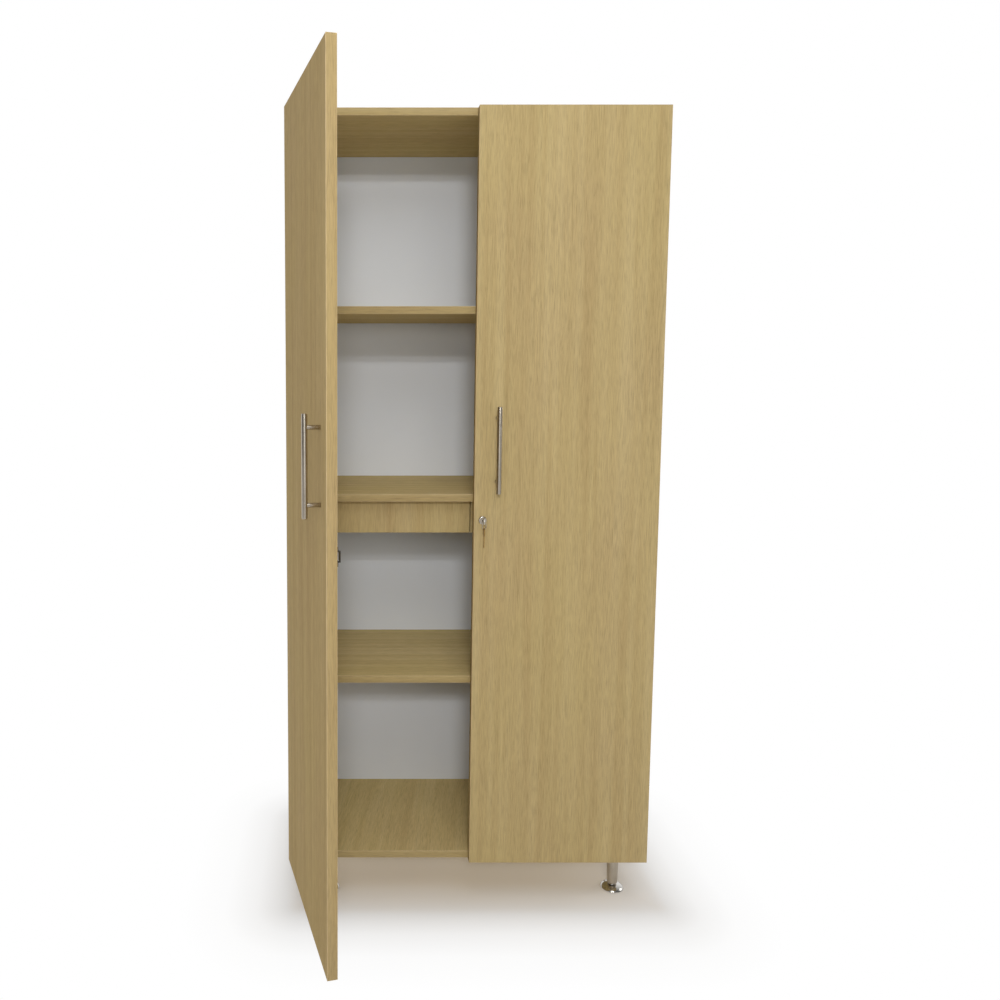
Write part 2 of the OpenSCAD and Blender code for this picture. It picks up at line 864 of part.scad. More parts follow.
module lock_plug() {
    cam_y = bolt_y + bolt_t + slip;
    steel() at_lock() {
        difference() {
            translate([0, -barrel_proud - plug_proud, 0]) rotate([-90, 0, 0])
                cylinder(d = plug_d, h = barrel_proud + plug_proud + door_t + case_wall);
            block([-keyway_w / 2, -barrel_proud - plug_proud - cut, -keyway_h / 2],
                  [keyway_w / 2, door_t - case_wall, keyway_h / 2]);
        }
        translate([0, door_t, 0]) rotate([-90, 0, 0])
            cylinder(d = cam_neck_d, h = cam_y + cam_t - door_t);
        translate([0, cam_y, 0]) rotate([-90, 0, 0]) cylinder(d = cam_d, h = cam_t);
        translate([0, cam_y - bolt_t, 0]) cam_pin();
    }
}

module lock_bolt() {
    neck = cam_neck_d / 2 + cam_slack;
    pin_half = cam_pin_d / 2 + cam_slack;
    start_x = cam_r * sin(45);
    nickel() difference() {
        block([bolt_x, bolt_y, lock_z - bolt_h / 2],
              [bolt_x + bolt_l, bolt_y + bolt_t, lock_z + bolt_h / 2]);
        at_lock() block([-neck, bolt_y - cut, -neck],
                        [neck + bolt_throw, bolt_y + bolt_t + cut, neck]);
        at_lock() block([start_x - pin_half, bolt_y - cut, -cam_r - pin_half],
                        [start_x + pin_half, bolt_y + bolt_t + cut, 0]);
    }
}

// Keys

module key_bow() {
    difference() {
        translate([-key_t / 2, 0, 0]) rotate([0, 90, 0]) cylinder(d = key_bow_d, h = key_t);
        translate([-key_t / 2 - cut, -key_bow_d / 2 + bow_hole_inset, 0])
            rotate([0, 90, 0]) cylinder(d = bow_hole_d, h = key_t + 2 * cut);
    }
}

module key() {
    color("khaki") at_lock() {
        translate([0, bow_y, 0]) key_bow();
        block([-key_t / 2, bow_edge_y - slip, -blade_h / 2], [key_t / 2, blade_tip_y, blade_h / 2]);
    }
}

// Moves a shape from the ring's top point to its place in the key's bow
module at_ring() { translate([lock_x, ring_hole_y, lock_z]) children(); }

module key_ring() {
    steel() at_ring() rotate([0, 0, ring_turn]) translate([0, 0, -ring_r]) rotate([90, 0, 0])
        rotate_extrude() translate([ring_r, 0]) circle(d = ring_wire_d);
}

module spare_key() {
    hole_z = -2 * ring_r;
    bow_z = hole_z - key_bow_d / 2 + bow_hole_inset;
    color("darkgoldenrod") at_ring() {
        translate([0, 0, bow_z]) rotate([-90, 0, 0]) key_bow();
        block([-key_t / 2, -spare_blade_h / 2, bow_z - key_bow_d / 2 - key_blade],
              [key_t / 2, spare_blade_h / 2, bow_z - key_bow_d / 2 + slip]);
    }
}

// Keeper on the left door, drawn on the right and mirrored

module keeper_screw(grow = 0) {
    reach = bolt_h / 2 + 2 * slip + keeper_t + keeper_foot / 2;
    for (s = [-1, 1])
        translate([door_free_x + keeper_w / 2 + slip, door_t + keeper_t, lock_z + s * reach])
            rotate([90, 0, 0])
                flush_screw(keeper_screw_d, keeper_screw_l, keeper_head_d, keeper_head_t, grow);
}

module lock_keeper() {
    throat = bolt_h / 2 + 2 * slip;
    low_x = door_free_x + slip;
    bridge_y = bolt_y + bolt_t + 2 * slip;
    nickel() left_door_opened() to_left() difference() {
        union() {
            block([low_x, door_t, lock_z - throat - keeper_t],
                  [low_x + keeper_w, bridge_y + keeper_t, lock_z + throat + keeper_t]);
            block([low_x, door_t, lock_z - throat - keeper_t - keeper_foot],
                  [low_x + keeper_w, door_t + keeper_t, lock_z + throat + keeper_t + keeper_foot]);
        }
        block([low_x - cut, door_t - cut, lock_z - throat],
              [low_x + keeper_w + cut, bridge_y, lock_z + throat]);
        keeper_screw(fit);
    }
}

module keeper_screws() { steel() left_door_opened() to_left() keeper_screw(); }

// Drawer

module drawer_bottom_slot(slack = 0) {
    block([box_left_x + drawer_side_t - drawer_groove - slack,
           drawer_box_y - drawer_groove - slack, drawer_bottom_z - slack],
          [box_right_x - drawer_side_t + drawer_groove + slack,
           drawer_box_y + drawer_side_l, drawer_bottom_z + drawer_bottom_t + slack]);
}

module drawer_front() {
    oak() difference() {
        block([drawer_left_x, drawer_y, drawer_low_z],
              [drawer_right_x, drawer_box_y, drawer_high_z]);
        drawer_bottom_slot(groove_slack);
    }
}

module drawer_sides() {
    oak() difference() {
        for (x = [box_left_x, box_right_x - drawer_side_t])
            block([x, drawer_box_y, drawer_box_low_z],
                  [x + drawer_side_t, drawer_box_y + drawer_side_l,
                   drawer_box_low_z + drawer_side_h]);
        drawer_bottom_slot(groove_slack);
        moving_runner_screw(fit);
    }
}

module drawer_back() {
    oak() block([box_left_x + drawer_side_t, drawer_box_y + drawer_side_l - drawer_side_t,
                 drawer_bottom_z + drawer_bottom_t],
                [box_right_x - drawer_side_t, drawer_box_y + drawer_side_l,
                 drawer_box_low_z + drawer_side_h]);
}

module drawer_bottom() { white() drawer_bottom_slot(); }

module hanger_dowel_set(grow = 0) {
    depth = back_y - shelf_back_gap - drawer_y;
    for (x = [hanger_left_x - board_t / 2, hanger_right_x + board_t / 2],
         y = shares_of(drawer_y, depth, dowel_y_shares))
        translate([x, y, middle_under_z - dowel_l + dowel_in_side - grow])
            cylinder(d = dowel_d + 2 * grow, h = dowel_l + 2 * grow);
}

module drawer_hangers() {
    oak() difference() {
        union() {
            for (x = [hanger_left_x - board_t, hanger_right_x])
                block([x, drawer_y, drawer_low_z],
                      [x + board_t, back_y - shelf_back_gap, middle_under_z]);
            block([-inner_x, drawer_y, drawer_low_z],
                  [-inner_x + packer_t, back_y - shelf_back_gap, middle_under_z]);
        }
        hanger_dowel_set(fit);
        fixed_runner_screw(fit);
    }
}

// Both runners, from one drawn with its fixed face at x = 0 and facing +x
module both_runners() {
    translate([hanger_left_x, runner_y, runner_z]) children();
    translate([hanger_right_x, runner_y, runner_z]) to_left() children();
}

module channel(low_x, high_x, height, web_low) {
    block([web_low ? low_x : high_x - runner_t, 0, -height / 2],
          [web_low ? low_x + runner_t : high_x, runner_l, height / 2]);
    for (z = [-height / 2, height / 2 - runner_t])
        block([low_x, 0, z], [high_x, runner_l, z + runner_t]);
}

module at_runner_screws() {
    for (y = shares_of(0, runner_l, runner_screw_shares)) translate([0, y, 0]) children();
}

module fixed_runner_screw(grow = 0) {
    both_runners() at_runner_screws() translate([runner_t, 0, 0]) rotate([0, -90, 0])
        flush_screw(runner_screw_d, runner_screw_l, runner_head_d, runner_t, grow);
}

module moving_runner_screw(grow = 0) {
    both_runners() at_runner_screws() translate([runner_w - runner_t, 0, 0]) rotate([0, 90, 0])
        flush_screw(runner_screw_d, runner_screw_l, runner_head_d, runner_t, grow);
}

module runner_fixed_members() {
    nickel() difference() {
        both_runners() channel(0, fixed_lip, runner_h, true);
        fixed_runner_screw(fit);
    }
}

module runner_drawer_members() {
    nickel() difference() {
        both_runners() channel(runner_w - moving_lip, runner_w, moving_h, false);
        moving_runner_screw(fit);
    }
    steel() moving_runner_screw();
}

module runner_ball_cages() {
    steel() both_runners() translate([0, cage_y - runner_y, 0]) {
        block([cage_x, 0, -ball_z - cage_t / 2], [cage_x + cage_t, cage_l, ball_z + cage_t / 2]);
        for (s = [-1, 1]) {
            translate([cage_x, 0, s * ball_z - cage_t / 2])
                cube([fixed_lip - cage_x, cage_l, cage_t]);
            for (i = [0:ball_count - 1])
                translate([ball_x, cage_l * (i + 0.5) / ball_count, s * ball_z])
                    sphere(d = ball_d - slip);
        }
    }
}

module runner_screws() { steel() fixed_runner_screw(); }

side_panel_left();
side_panel_right();
top_panel();
bottom_panel();
back_panel();
shelf_lower();
shelf_middle();
shelf_upper();
shelf_pins();
carcass_edge_bands();
carcass_dowels();
carcass_screws();
leg_plates();
leg_screws();
legs();
foot_front_left();
foot_front_right();
foot_rear_left();
foot_rear_right();
left_door();
left_door_edge_bands();
left_handle_bar();
left_handle_posts();
left_handle_screws();
left_hinge_cups();
left_hinge_pins();
left_cup_screws();
left_hinge_arms();
left_hinge_plates();
left_plate_screws();
lock_keeper();
keeper_screws();
right_door();
right_door_edge_bands();
right_handle_bar();
right_handle_posts();
right_handle_screws();
right_hinge_cups();
right_hinge_pins();
right_cup_screws();
right_hinge_arms();
right_hinge_plates();
right_plate_screws();
lock_case();
lock_screws();
lock_rosette();
lock_plug();
lock_bolt();
key();
key_ring();
spare_key();
drawer_front();
drawer_sides();
drawer_back();
drawer_bottom();
drawer_hangers();
runner_fixed_members();
runner_drawer_members();
runner_ball_cages();
runner_screws();
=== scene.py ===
# Tall two-door oak cupboard on metal legs: finishes, fine shapes, light and camera
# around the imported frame. Lengths are metres and angles degrees unless a note says so.
import json
import math

import bmesh
import bpy
from mathutils import Matrix, Vector

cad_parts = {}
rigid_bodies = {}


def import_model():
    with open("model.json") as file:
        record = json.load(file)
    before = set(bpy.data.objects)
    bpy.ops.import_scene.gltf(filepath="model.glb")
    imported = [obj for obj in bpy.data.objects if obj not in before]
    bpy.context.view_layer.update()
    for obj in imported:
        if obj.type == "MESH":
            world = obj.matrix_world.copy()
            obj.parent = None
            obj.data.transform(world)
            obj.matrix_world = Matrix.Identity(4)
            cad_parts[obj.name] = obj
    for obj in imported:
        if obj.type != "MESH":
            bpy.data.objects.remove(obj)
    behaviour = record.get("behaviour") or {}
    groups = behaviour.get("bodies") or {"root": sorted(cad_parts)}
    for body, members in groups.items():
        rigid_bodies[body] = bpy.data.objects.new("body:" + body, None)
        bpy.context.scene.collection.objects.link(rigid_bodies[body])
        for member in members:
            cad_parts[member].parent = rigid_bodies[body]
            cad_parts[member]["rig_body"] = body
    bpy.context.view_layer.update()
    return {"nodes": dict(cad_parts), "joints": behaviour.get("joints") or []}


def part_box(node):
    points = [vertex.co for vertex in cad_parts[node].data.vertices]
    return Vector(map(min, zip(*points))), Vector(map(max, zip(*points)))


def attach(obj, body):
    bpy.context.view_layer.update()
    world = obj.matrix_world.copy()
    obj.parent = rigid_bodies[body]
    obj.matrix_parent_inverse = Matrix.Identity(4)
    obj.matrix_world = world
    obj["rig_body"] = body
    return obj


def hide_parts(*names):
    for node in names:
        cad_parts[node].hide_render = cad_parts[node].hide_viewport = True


print("loading the frame")
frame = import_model()
nodes = frame["nodes"]
mm = 0.001


# camera

cameraView = {
    "place": (-0.3143, -2.030, 1.3467),
    "tiltDown": 5.34,
    "lens": 30.51,
    "sensor": 36,
    "shiftX": 0.1562,
    "shiftY": -0.0466,
    "nearest": 0.01,
    "farthest": 200,
}

print("placing the camera")
cameraData = bpy.data.cameras.new("camera")
cameraData.lens = cameraView["lens"]
cameraData.sensor_width = cameraView["sensor"]
cameraData.shift_x = cameraView["shiftX"]
cameraData.shift_y = cameraView["shiftY"]
cameraData.clip_start = cameraView["nearest"]
cameraData.clip_end = cameraView["farthest"]
camera = bpy.data.objects.new("camera", cameraData)
camera.location = cameraView["place"]
camera.rotation_euler = (math.radians(90 - cameraView["tiltDown"]), 0, 0)
bpy.context.scene.collection.objects.link(camera)
bpy.context.scene.camera = camera
bpy.context.scene.view_settings.view_transform = "Standard"


# node helpers

noiseRange = (0.3, 0.7)      # nearly all of a noise pattern lies between these


def setInputs(tree, node, inputs):
    # inputs holds values, or sockets to link from
    for name, value in inputs.items():
        if isinstance(value, bpy.types.NodeSocket):
            tree.links.new(value, node.inputs[name])
        else:
            node.inputs[name].default_value = value


def addNode(tree, kind, settings=None, inputs=None):
    node = tree.nodes.new(kind)
    for name, value in (settings or {}).items():
        setattr(node, name, value)
    setInputs(tree, node, inputs or {})
    return node


def addMath(tree, operation, first, second=0):
    return addNode(tree, "ShaderNodeMath", {"operation": operation}, {
        0: first, 1: second}).outputs[0]


def addVectorMath(tree, operation, first, second=(0, 0, 0)):
    node = addNode(tree, "ShaderNodeVectorMath", {"operation": operation}, {
        0: first, 1: second})
    return node.outputs["Value" if operation == "LENGTH" else "Vector"]


def addRange(tree, value, before, after):
    # before and after are (low, high)
    return addNode(tree, "ShaderNodeMapRange", inputs={
        "Value": value, "From Min": before[0], "From Max": before[1],
        "To Min": after[0], "To Max": after[1]}).outputs["Result"]


def addRamp(tree, factor, stops):
    # stops are (place, grey) or (place, colour)
    ramp = addNode(tree, "ShaderNodeValToRGB", inputs={"Fac": factor})
    elements = ramp.color_ramp.elements
    while len(elements) < len(stops):
        elements.new(0.5)
    for element, (place, colour) in zip(elements, stops):
        rgb = colour if isinstance(colour, tuple) else (colour, colour, colour)
        element.position = place
        element.color = (*rgb, 1)
    return ramp.outputs["Color"]


def addNoiseRamp(tree, noise, low, high):
    return addRamp(tree, noise, [(noiseRange[0], low), (noiseRange[1], high)])


def addMix(tree, low, high, share=1.0, blend="MULTIPLY"):
    low, high = ((*side, 1) if isinstance(side, tuple) else side for side in (low, high))
    mix = addNode(tree, "ShaderNodeMix", {"data_type": "RGBA", "blend_type": blend}, {
        0: share, 6: low, 7: high})
    return mix.outputs[2]


def addPattern(tree, place, scale, detail, roughness, shift=(0, 0, 0), stretch=(1, 1, 1)):
    mapping = addNode(tree, "ShaderNodeMapping", inputs={
        "Vector": place, "Location": shift, "Scale": stretch})
    noise = addNode(tree, "ShaderNodeTexNoise", inputs={
        "Vector": mapping.outputs["Vector"], "Scale": scale, "Detail": detail,
        "Roughness": roughness})
    return noise.outputs["Fac"]


def addBump(tree, shader, height, strength, distance):
    bump = addNode(tree, "ShaderNodeBump", inputs={
        "Height": height, "Strength": strength, "Distance": distance})
    tree.links.new(bump.outputs["Normal"], shader.inputs["Normal"])


def startMaterial(name):
    # place is the point on the piece that the patterns read
    material = bpy.data.materials.new(name)
    material.use_nodes = True
    tree = material.node_tree
    place = addNode(tree, "ShaderNodeTexCoord").outputs["Object"]
    return material, tree, tree.nodes["Principled BSDF"], place


# wood

oakLook = {
    # each pattern's scale, detail, roughness, and how much slower it changes along the grain
    "bands": (38, 4, 0.58, 0.022),
    "lines": (850, 3, 0.6, 0.034),
    "pores": (1050, 2, 0.6, 0.0204),
    "cloud": (5.0, 2, 0.5, 0.4),
    "bend": (2.2, 2, 0.5, 1),
    # places on a pattern, and the colour or grey there
    "bandColours": [(0.30, (0.430, 0.318, 0.148)), (0.48, (0.470, 0.358, 0.170)),
                    (0.68, (0.505, 0.392, 0.196))],
    "lineGreys": [(0.32, 0.78), (0.5, 0.98), (0.68, 1.10)],
    "poreGreys": [(0.30, 0.64), (0.41, 1.0)],
    "ringGreys": [(0.0, 0.80), (0.10, 0.90), (0.30, 1.0)],
    "ringFade": [(0.42, 0.15), (0.62, 0.95)],
    "hues": [(0.35, (1.0, 1.005, 0.975)), (0.65, (1.0, 0.99, 1.01))],
    "knotFade": [(0.0, 0.6), (0.022, 0.0)],
    "lineShare": 0.85,
    "poreShare": 0.60,
    "poreBump": (0.35, 0.00025),
    "ringCount": 24,      # growth lines over the whole range of the bands
    "bendDepth": 0.010,
    "knotScale": 7.0,
    "knotAlong": 0.28,
    "knotColour": (0.27, 0.185, 0.080),
    "roughness": (0.74, 0.62),
    "specular": 0.05,
}


def alongGrain(grain, along):
    return tuple(along if axis == grain else 1 for axis in "xyz")


def oakMaterial(name, grain, shift, tint=(1, 1, 1), turn=0):
    # grain is the axis it runs along, and turn leans it round the z axis
    look = oakLook
    material, tree, shader, place = startMaterial(name)

    def pattern(kind, where):
        scale, detail, roughness, along = look[kind]
        return addPattern(tree, where, scale, detail, roughness, shift,
                          alongGrain(grain, along))

    if turn:
        place = addNode(tree, "ShaderNodeMapping", inputs={
            "Vector": place, "Rotation": (0, 0, math.radians(turn))}).outputs["Vector"]
    bend = addNode(tree, "ShaderNodeVectorMath", {"operation": "SCALE"}, {
        "Vector": pattern("bend", place), "Scale": look["bendDepth"]}).outputs["Vector"]
    wavy = addVectorMath(tree, "ADD", place, bend)
    bands, lines, pores = (pattern(kind, wavy) for kind in ("bands", "lines", "pores"))
    cloud = pattern("cloud", place)
    # growth lines follow the edges of the bands, and fade in and out
    ringPlace = addMath(tree, "FRACT", addMath(tree, "MULTIPLY", bands, look["ringCount"]))
    rings = addRamp(tree, ringPlace, look["ringGreys"])
    pits = addRamp(tree, pores, look["poreGreys"])
    knotPlace = addNode(tree, "ShaderNodeMapping", inputs={
        "Vector": wavy, "Location": shift, "Scale": alongGrain(grain, look["knotAlong"])})
    knots = addNode(tree, "ShaderNodeTexVoronoi", {"feature": "F1"}, {
        "Vector": knotPlace.outputs["Vector"], "Scale": look["knotScale"],
        "Randomness": 1.0}).outputs["Distance"]

    colour = addRamp(tree, bands, look["bandColours"])
    colour = addMix(tree, colour, rings, addRamp(tree, cloud, look["ringFade"]))
    colour = addMix(tree, colour, addRamp(tree, lines, look["lineGreys"]), look["lineShare"])
    colour = addMix(tree, colour, pits, look["poreShare"])
    colour = addMix(tree, colour, addRamp(tree, cloud, look["hues"]))
    colour = addMix(tree, colour, look["knotColour"],
                    addRamp(tree, knots, look["knotFade"]), "MIX")
    setInputs(tree, shader, {
        "Base Color": addMix(tree, colour, tint),
        "Roughness": addRange(tree, lines, noiseRange, look["roughness"]),
        "Specular IOR Level": look["specular"]})
    addBump(tree, shader, pits, *look["poreBump"])
    return material


# boards, metals and the rest

whiteLook = {
    # the inner face's bluish tint is painted shade, the cool cast of the cupboard's shaded
    # inside; the rear is plain
    "inner": (0.765, 0.800, 0.850),
    "rear": (0.790, 0.790, 0.785),
    "cloud": (3.0, 3, 0.5),       # each pattern's scale, detail and roughness
    "cloudDim": 0.97,
    "speck": (900, 2, 0.6),
    "speckDim": 0.97,
    "speckBump": (0.15, 0.0001),
    "roughness": 0.42,
    "specular": 0.15,
}


def whiteMaterial(name, colour):
    look = whiteLook
    material, tree, shader, place = startMaterial(name)
    cloud = addPattern(tree, place, *look["cloud"])
    speck = addPattern(tree, place, *look["speck"])
    dim = tuple(look["cloudDim"] * c for c in colour)
    setInputs(tree, shader, {
        "Base Color": addMix(tree, addNoiseRamp(tree, cloud, dim, colour),
                             addNoiseRamp(tree, speck, look["speckDim"], 1.0)),
        "Roughness": look["roughness"], "Specular IOR Level": look["specular"]})
    addBump(tree, shader, speck, *look["speckBump"])
    return material


metalLooks = {
    # colour, roughness low and high, brushing's scale and stretch, bump
    "satinNickel": {"colour": (0.57, 0.51, 0.42), "rough": (0.26, 0.40), "scale": 700,
                    "stretch": (1, 1, 0.05), "bump": 0.06},
    "brushedSteel": {"colour": (0.53, 0.475, 0.395), "rough": (0.20, 0.34), "scale": 1600,
                     "stretch": (1, 1, 0.02), "bump": 0.08},
    "zinc": {"colour": (0.56, 0.57, 0.58), "rough": (0.32, 0.48), "scale": 260,
             "stretch": (1, 1, 1), "bump": 0.05},
    "chrome": {"colour": (0.68, 0.66, 0.62), "rough": (0.14, 0.22), "scale": 90,
               "stretch": (1, 1, 1), "bump": 0.01},
    # near-black stands in for the dark interior mirrored in the keeper: painted shade
    "darkSteelPaintedShade": {"colour": (0.060, 0.055, 0.050), "rough": (0.30, 0.42), "scale": 400,
                  "stretch": (1, 1, 1), "bump": 0.04},
    "brass": {"colour": (0.40, 0.25, 0.085), "rough": (0.24, 0.42), "scale": 420,
              "stretch": (1, 1, 0.4), "bump": 0.05},
    "keySteel": {"colour": (0.64, 0.62, 0.58), "rough": (0.18, 0.34), "scale": 520,
                 "stretch": (1, 0.2, 1), "bump": 0.05},
}
metalWear = {
    "cloud": (38, 3, 0.55),
    "cloudDim": 0.88,
    "brushDetail": (3, 0.6),
    "brushDim": 0.93,
    "bumpDepth": 0.0002,
}


def metalMaterial(name):
    look = metalLooks[name]
    material, tree, shader, place = startMaterial(name)
    brush = addPattern(tree, place, look["scale"], *metalWear["brushDetail"],
                       stretch=look["stretch"])
    cloud = addPattern(tree, place, *metalWear["cloud"])
    dim = tuple(metalWear["cloudDim"] * c for c in look["colour"])
    setInputs(tree, shader, {
        "Base Color": addMix(tree, addNoiseRamp(tree, cloud, dim, look["colour"]),
                             addNoiseRamp(tree, brush, metalWear["brushDim"], 1.0)),
        "Metallic": 1.0, "Roughness": addRange(tree, brush, noiseRange, look["rough"])})
    addBump(tree, shader, brush, look["bump"], metalWear["bumpDepth"])
    return material


grainyLooks = {
    "beech": {"grit": (500, 3, 0.6), "stretch": (0.1, 1, 1), "roughness": 0.6,
              "colours": [(0.35, (0.50, 0.32, 0.16)), (0.65, (0.64, 0.44, 0.24))]},
    "rubber": {"grit": (900, 2, 0.6), "stretch": (1, 1, 1), "roughness": 0.7,
               "colours": [(0.3, 0.020), (0.7, 0.036)]},
}
grainyBump = (0.2, 0.0002)


def grainyMaterial(name):
    look = grainyLooks[name]
    material, tree, shader, place = startMaterial(name)
    grit = addPattern(tree, place, *look["grit"], stretch=look["stretch"])
    setInputs(tree, shader, {
        "Base Color": addRamp(tree, grit, look["colours"]), "Roughness": look["roughness"]})
    addBump(tree, shader, grit, *grainyBump)
    return material


print("making the finishes")
oakRightDoor = oakMaterial("oakRightDoor", "z", (3.1, 0.4, 1.7))
oakLeftDoor = oakMaterial("oakLeftDoor", "z", (7.3, 2.4, 4.2), (1.0, 0.965, 0.92))
oakSides = oakMaterial("oakSides", "z", (12.7, 5.1, 0.9))
# the inner boards are painted about 1.4 times lighter than the doors: painted light standing
# in for light that hardly reaches inside
oakBoardsPaintedLight = oakMaterial("oakBoardsPaintedLight", "x", (1.9, 9.2, 3.3), (1.38, 1.42, 1.40))
oakBottom = oakMaterial("oakBottom", "y", (4.4, 0.8, 7.9), (1.38, 1.42, 1.40), 10)
oakDrawer = oakMaterial("oakDrawer", "z", (5.5, 3.7, 8.8), (0.93, 0.93, 0.93))
oakDeep = oakMaterial("oakDeep", "y", (2.6, 6.4, 5.9))
# the edge bands are painted darker than the faces: painted shade
oakBandUprightPaintedShade = oakMaterial("oakBandUprightPaintedShade", "z", (0.7, 4.4, 6.1), (0.91, 0.88, 0.86))
oakBandLevelPaintedShade = oakMaterial("oakBandLevelPaintedShade", "x", (8.2, 1.3, 2.5), (0.88, 0.88, 0.86))
# paler, bluer oak for the rounded arrises of the bands: a painted highlight
oakBandPaintedHighlight = oakMaterial("oakBandPaintedHighlight", "z", (4.6, 7.7, 1.2), (1.36, 1.37, 1.66))
whiteBoard = whiteMaterial("whiteBoard", whiteLook["inner"])
whiteBoardRear = whiteMaterial("whiteBoardRear", whiteLook["rear"])
satinNickel = metalMaterial("satinNickel")
brushedSteel = metalMaterial("brushedSteel")
zincPlate = metalMaterial("zinc")
chrome = metalMaterial("chrome")
darkSteelPaintedShade = metalMaterial("darkSteelPaintedShade")
brass = metalMaterial("brass")
keySteel = metalMaterial("keySteel")
beech = grainyMaterial("beech")
rubber = grainyMaterial("rubber")


# shaping helpers

softEdge = {
    "angle": 40,                  # edges sharper than this are rounded
    "smoothAngle": 20,            # edges flatter than this are shaded smooth
    "flatAngle": 0.6,             # edges flatter than this are dissolved
    "mergeDistance": 2e-6,
    "broad": 1.5 * mm,            # least area over border length of a broad face
    "flatWithin": 0.02 * mm,
    "sameWay": 0.9999,            # cosine between faces that lie in one plane
}


def pieceName(node):
    # side_panel_left gives sidePanelLeft
    first, *rest = node.split("_")
    return first + "".join(word.capitalize() for word in rest)


def broadPlanes(bm):
    # the planes of the broad flat faces, which stay flat shaded
    planes = []
    for face in bm.faces:
        around = sum(e.calc_length() for e in face.edges)
        if face.calc_area() / around > softEdge["broad"]:
            planes.append((face.normal.copy(), face.normal.dot(face.verts[0].co)))
    return planes


def liesOn(face, planes):
    middle = face.calc_center_median()
    return any(face.normal.dot(normal) > softEdge["sameWay"]
               and abs(normal.dot(middle) - away) < softEdge["flatWithin"]
               for normal, away in planes)


def finishPiece(bm, name, body, materials, replaced, planes=()):
    bmesh.ops.recalc_face_normals(bm, faces=bm.faces)
    smooth = [not liesOn(face, planes) for face in bm.faces]
    mesh = bpy.data.meshes.new(name)
    bm.to_mesh(mesh)
    bm.free()
    for material in materials:
        mesh.materials.append(material)
    mesh.set_sharp_from_angle(angle=math.radians(softEdge["smoothAngle"]))
    mesh.polygons.foreach_set("use_smooth", smooth)
    piece = bpy.data.objects.new(name, mesh)
    bpy.context.scene.collection.objects.link(piece)
    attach(piece, body)
    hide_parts(*replaced)
    return piece


def bevelEdges(bm, edges, width, segments):
    bmesh.ops.bevel(bm, geom=edges, offset=width, offset_type="OFFSET", segments=segments,
                    profile=0.5, affect="EDGES", clamp_overlap=False, material=-1)


def softCopy(node, slot, material, width, shortest=3 * mm, segments=2):
    # a copy of a CAD node with its long sharp edges rounded
    bm = bmesh.new()
    bm.from_mesh(nodes[node].data)
    bmesh.ops.remove_doubles(bm, verts=bm.verts, dist=softEdge["mergeDistance"])
    bmesh.ops.dissolve_limit(bm, angle_limit=math.radians(softEdge["flatAngle"]),
                             verts=bm.verts, edges=bm.edges)
    bm.normal_update()
    planes = broadPlanes(bm)
    sharp = [e for e in bm.edges if len(e.link_faces) == 2 and e.calc_length() > shortest
             and e.calc_face_angle() > math.radians(softEdge["angle"])]
    bevelEdges(bm, sharp, width, segments)
    bmesh.ops.triangulate(bm, faces=bm.faces)
    return finishPiece(bm, pieceName(node), nodes[node]["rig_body"], [material], [node],
                       planes)


def softCopies(parts):
    # parts gives each node's slot, material, rounding, shortest edge and segments
    for node, look in parts.items():
        softCopy(node, *look)


def middleOf(low, high):
    return (Vector(low) + Vector(high)) / 2


def addBlock(bm, low, high):
    cube = bmesh.ops.create_cube(bm, size=1)["verts"]
    bmesh.ops.scale(bm, vec=Vector(high) - Vector(low), verts=cube)
    bmesh.ops.translate(bm, vec=middleOf(low, high), verts=cube)
    return cube


def addTurned(bm, profile, centre, steps, axis=(0, 0, 1)):
    # profile is (radius, height) pairs, turned round the axis through centre
    up = Vector(axis)
    side = up.orthogonal().normalized()
    start = [bm.verts.new(Vector(centre) + side * r + up * h) for r, h in profile]
    edges = [bm.edges.new(pair) for pair in zip(start, start[1:])]
    bmesh.ops.spin(bm, geom=start + edges, cent=centre, axis=up, angle=math.radians(360),
                   steps=steps, use_merge=True)
    bmesh.ops.remove_doubles(bm, verts=bm.verts, dist=softEdge["mergeDistance"])


def dress(material, *names):
    for name in names:
        for slot in nodes[name].material_slots:
            slot.material = material


# boards of the carcass

boardEdges = {"round": 0.25 * mm, "shortest": 12 * mm}
boardFinishes = {
    "side_panel_left": oakSides,
    "side_panel_right": oakSides,
    "top_panel": oakBoardsPaintedLight,
    "bottom_panel": oakBottom,
    "shelf_lower": oakBoardsPaintedLight,
    "shelf_middle": oakBoardsPaintedLight,
    "shelf_upper": oakBoardsPaintedLight,
    "drawer_hangers": oakDeep,
}

print("rounding the carcass boards")
for node, material in boardFinishes.items():
    softCopy(node, "oak", material, boardEdges["round"], boardEdges["shortest"])
backPanel = softCopy("back_panel", "white_board", whiteBoard, boardEdges["round"])
# the rear face is plain white board, the inner face keeps the painted shade tint
backPanel.data.materials.append(whiteBoardRear)
for face in backPanel.data.polygons:
    face.material_index = 1 if face.normal.y > 0.5 else 0


# edge bands

bandShape = {
    "thickness": 1.0 * mm,
    "round": 0.75 * mm,
    "segments": 3,
    "square": 0.99,      # faces less square to the axes than this are the rounding
}
bandMaterials = [oakBandUprightPaintedShade, oakBandLevelPaintedShade, oakBandPaintedHighlight]
upright, level, paintedHighlight = range(3)      # their places in that list
bandedBoards = {
    "side_panel_left": upright,
    "side_panel_right": upright,
    "top_panel": level,
    "bottom_panel": level,
    "shelf_lower": level,
    "shelf_middle": level,
    "shelf_upper": level,
}


